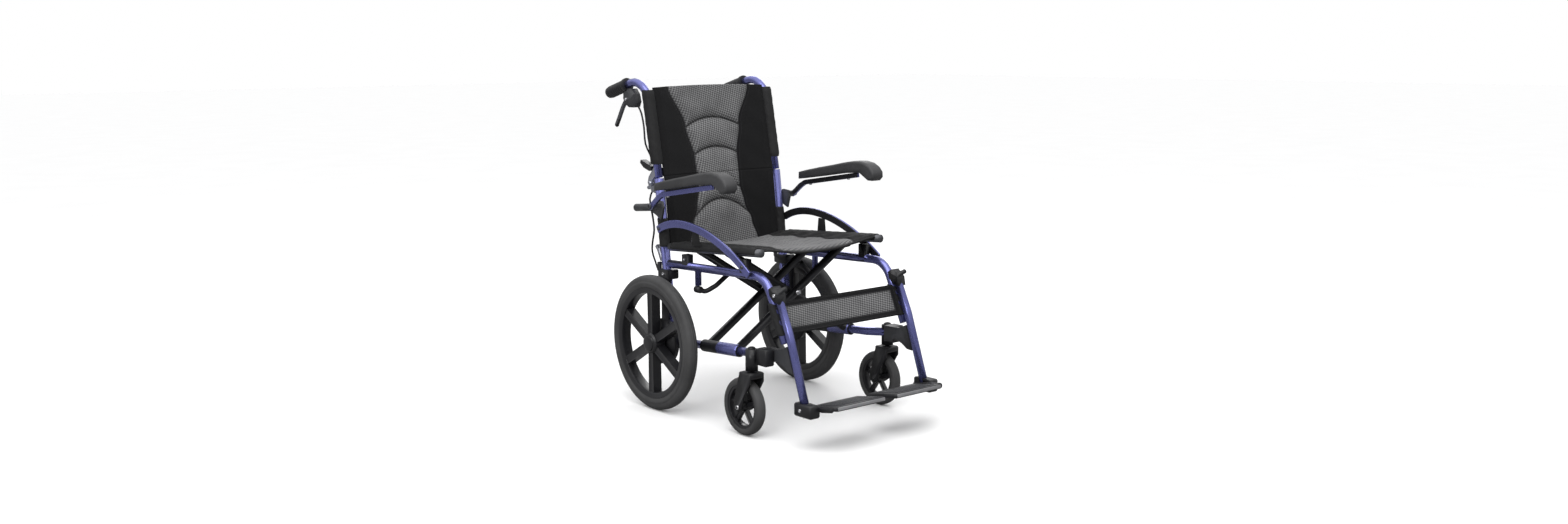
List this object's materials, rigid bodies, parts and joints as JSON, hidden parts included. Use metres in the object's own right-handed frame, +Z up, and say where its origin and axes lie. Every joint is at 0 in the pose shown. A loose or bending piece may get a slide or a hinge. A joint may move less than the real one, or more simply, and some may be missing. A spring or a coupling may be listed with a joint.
{
  "type": "transport wheelchair",
  "caption": "Folding attendant-pushed transport wheelchair: cross-braced tube frame, sling seat and back, flip-up arms and footplates.",
  "frame": {"origin": "centre of the bounding box's bottom face, on the floor", "axes": "+Z up; the chair faces -Y; +X is the occupant's left"},
  "size_m": [0.55, 0.9077, 0.8627],
  "materials": {
    "violet_anodised": "satin metallic",
    "black_metal": "satin powder coat",
    "grey_metal": "satin",
    "bright_steel": "polished",
    "black_plastic": "moulded, fine grain",
    "grey_plastic": "moulded, fine grain",
    "arm_pad": "soft integral-skin foam",
    "tyre_rubber": "solid grey rubber",
    "black_nylon": "woven nylon with grey mesh"
  },
  "bodies": {
    "right_frame": {"right_lower_post": "violet_anodised", "right_side_rail": "violet_anodised", "right_lower_rail": "violet_anodised", "right_arc_guard": "violet_anodised", "right_armrest_bracket": "grey_plastic", "right_hanger_tube": "violet_anodised", "right_footrest_bracket": "grey_plastic", "right_footplate_bracket": "black_plastic", "right_rear_brake": "black_metal", "right_brake_cable": "black_plastic", "calf_strap": "black_nylon", "back_flap": "black_nylon"},
    "right_back": {"right_upper_post": "violet_anodised", "right_handle_grip": "black_plastic", "right_brake_housing": "grey_plastic", "back_sling": "black_nylon"},
    "right_armrest": {"right_armrest_bar": "violet_anodised", "right_armrest_pad": "arm_pad"},
    "right_rear_wheel": {"right_rear_wheel": "black_plastic", "right_rear_tyre": "tyre_rubber"},
    "right_caster_wheel": {"right_caster_wheel": "black_plastic", "right_caster_tyre": "tyre_rubber"},
    "right_brake_lever": {"right_brake_lever": "grey_metal"},
    "right_brake_arm": {"right_brake_arm": "grey_metal"},
    "right_fold_lever": {"right_fold_lever": "black_plastic"},
    "right_footplate": {"right_footplate": "black_plastic"},
    "right_link_bar": {"right_link_bar": "black_metal"},
    "right_caster_fork": {"right_caster_fork": "black_metal"},
    "left_frame": {"left_lower_post": "violet_anodised", "left_side_rail": "violet_anodised", "left_lower_rail": "violet_anodised", "left_arc_guard": "violet_anodised", "left_armrest_bracket": "grey_plastic", "left_hanger_tube": "violet_anodised", "left_footrest_bracket": "grey_plastic", "left_footplate_bracket": "black_plastic", "left_rear_brake": "black_metal", "left_brake_cable": "black_plastic"},
    "left_back": {"left_upper_post": "violet_anodised", "left_handle_grip": "black_plastic", "left_brake_housing": "grey_plastic"},
    "left_armrest": {"left_armrest_bar": "violet_anodised", "left_armrest_pad": "arm_pad"},
    "left_rear_wheel": {"left_rear_wheel": "black_plastic", "left_rear_tyre": "tyre_rubber"},
    "left_caster_wheel": {"left_caster_wheel": "black_plastic", "left_caster_tyre": "tyre_rubber"},
    "left_brake_lever": {"left_brake_lever": "grey_metal"},
    "left_brake_arm": {"left_brake_arm": "grey_metal"},
    "left_fold_lever": {"left_fold_lever": "black_plastic"},
    "left_footplate": {"left_footplate": "black_plastic"},
    "left_link_bar": {"left_link_bar": "black_metal"},
    "left_caster_fork": {"left_caster_fork": "black_metal"},
    "brace_a": {"cross_brace_a": "black_metal", "left_seat_rail": "grey_metal", "rear_pivot_bolt": "bright_steel", "front_pivot_bolt": "bright_steel", "seat_sling": "black_nylon"},
    "brace_b": {"cross_brace_b": "black_metal", "right_seat_rail": "grey_metal"}
  },
  "joints": [
    {"name": "frame_fold", "type": "hinge", "parent": "right_frame", "child": "brace_a", "pos_m": [-0.198, 0.1779, 0.1773], "axis": [0, -0.9979, 0.0645], "range_deg": [0, 38.4], "deforming": ["seat_sling", "back_sling", "back_flap", "calf_strap"]},
    {"name": "brace_spread", "type": "hinge", "parent": "brace_a", "child": "brace_b", "pos_m": [0, 0.1859, 0.30104], "axis": [0, 0.9979, -0.0645], "range_deg": [0, 76.8]},
    {"name": "left_frame_hinge", "type": "hinge", "parent": "brace_b", "child": "left_frame", "pos_m": [0.198, 0.1779, 0.1773], "axis": [0, -0.9979, 0.0645], "range_deg": [0, 38.4]},
    {"name": "right_link_swing", "type": "hinge", "parent": "right_frame", "child": "right_link_bar", "pos_m": [-0.198, 0.0519, 0.329], "axis": [0, -1, 0], "range_deg": [0, 46.08]},
    {"name": "right_footplate_flip", "type": "hinge", "parent": "right_frame", "child": "right_footplate", "pos_m": [-0.181, -0.4021, 0.1], "axis": [0, -0.9848, 0.1736], "range_deg": [0, 90]},
    {"name": "left_link_swing", "type": "hinge", "parent": "left_frame", "child": "left_link_bar", "pos_m": [0.198, 0.0519, 0.329], "axis": [0, 1, 0], "range_deg": [0, 46.08]},
    {"name": "left_footplate_flip", "type": "hinge", "parent": "left_frame", "child": "left_footplate", "pos_m": [0.181, -0.4021, 0.1], "axis": [0, 0.9848, -0.1736], "range_deg": [0, 90]},
    {"name": "right_back_fold", "type": "hinge", "parent": "right_frame", "child": "right_back", "pos_m": [-0.198, 0.2459, 0.59], "axis": [-1, 0, 0], "range_deg": [0, 95], "deforming": ["right_brake_cable"]},
    {"name": "right_armrest_flip", "type": "hinge", "parent": "right_frame", "child": "right_armrest", "pos_m": [-0.241, 0.1939, 0.535], "axis": [-1, 0, 0], "range_deg": [0, 100]},
    {"name": "right_brake_squeeze", "type": "hinge", "parent": "right_back", "child": "right_brake_lever", "pos_m": [-0.198, 0.3519, 0.806], "axis": [1, 0, 0], "range_deg": [0, 20], "stiffness_Nm_per_rad": 1, "springref_deg": -5.73},
    {"name": "right_brake_pull", "type": "hinge", "parent": "right_frame", "child": "right_brake_arm", "pos_m": [-0.198, 0.1969, 0.387], "axis": [1, 0, 0], "range_deg": [0, 8]},
    {"name": "right_fold_release", "type": "hinge", "parent": "right_back", "child": "right_fold_lever", "pos_m": [-0.198, 0.2499, 0.6275], "axis": [1, 0, 0], "range_deg": [0, 25], "stiffness_Nm_per_rad": 0.5, "springref_deg": -11.46},
    {"name": "right_rear_wheel_spin", "type": "hinge", "parent": "right_frame", "child": "right_rear_wheel", "pos_m": [-0.251, 0.1779, 0.178], "axis": [1, 0, 0], "continuous": true},
    {"name": "right_caster_swivel", "type": "hinge", "parent": "right_frame", "child": "right_caster_fork", "pos_m": [-0.228, -0.2031, 0.155], "axis": [0, 0, 1], "continuous": true},
    {"name": "right_caster_spin", "type": "hinge", "parent": "right_caster_fork", "child": "right_caster_wheel", "pos_m": [-0.228, -0.1741, 0.072], "axis": [1, 0, 0], "continuous": true},
    {"name": "left_back_fold", "type": "hinge", "parent": "left_frame", "child": "left_back", "pos_m": [0.198, 0.2459, 0.59], "axis": [-1, 0, 0], "range_deg": [0, 95], "deforming": ["left_brake_cable"]},
    {"name": "left_armrest_flip", "type": "hinge", "parent": "left_frame", "child": "left_armrest", "pos_m": [0.241, 0.1939, 0.535], "axis": [-1, 0, 0], "range_deg": [0, 100]},
    {"name": "left_brake_squeeze", "type": "hinge", "parent": "left_back", "child": "left_brake_lever", "pos_m": [0.198, 0.3519, 0.806], "axis": [1, 0, 0], "range_deg": [0, 20], "stiffness_Nm_per_rad": 1, "springref_deg": -5.73},
    {"name": "left_brake_pull", "type": "hinge", "parent": "left_frame", "child": "left_brake_arm", "pos_m": [0.198, 0.1969, 0.387], "axis": [1, 0, 0], "range_deg": [0, 8]},
    {"name": "left_fold_release", "type": "hinge", "parent": "left_back", "child": "left_fold_lever", "pos_m": [0.198, 0.2499, 0.6275], "axis": [1, 0, 0], "range_deg": [0, 25], "stiffness_Nm_per_rad": 0.5, "springref_deg": -11.46},
    {"name": "left_rear_wheel_spin", "type": "hinge", "parent": "left_frame", "child": "left_rear_wheel", "pos_m": [0.251, 0.1779, 0.178], "axis": [1, 0, 0], "continuous": true},
    {"name": "left_caster_swivel", "type": "hinge", "parent": "left_frame", "child": "left_caster_fork", "pos_m": [0.228, -0.2031, 0.155], "axis": [0, 0, 1], "continuous": true},
    {"name": "left_caster_spin", "type": "hinge", "parent": "left_caster_fork", "child": "left_caster_wheel", "pos_m": [0.228, -0.1741, 0.072], "axis": [1, 0, 0], "continuous": true}
  ],
  "couplings": [
    {"joint": "brace_spread", "follows": "frame_fold", "ratio": 2},
    {"joint": "left_frame_hinge", "follows": "frame_fold", "ratio": 1},
    {"joint": "right_link_swing", "follows": "frame_fold", "ratio": 1.2},
    {"joint": "right_footplate_flip", "follows": "frame_fold", "ratio": 2.3437},
    {"joint": "left_link_swing", "follows": "frame_fold", "ratio": 1.2},
    {"joint": "left_footplate_flip", "follows": "frame_fold", "ratio": 2.3437},
    {"joint": "right_brake_pull", "follows": "right_brake_squeeze", "ratio": 0.4},
    {"joint": "left_back_fold", "follows": "right_back_fold", "ratio": 1},
    {"joint": "left_brake_pull", "follows": "left_brake_squeeze", "ratio": 0.4}
  ]
}
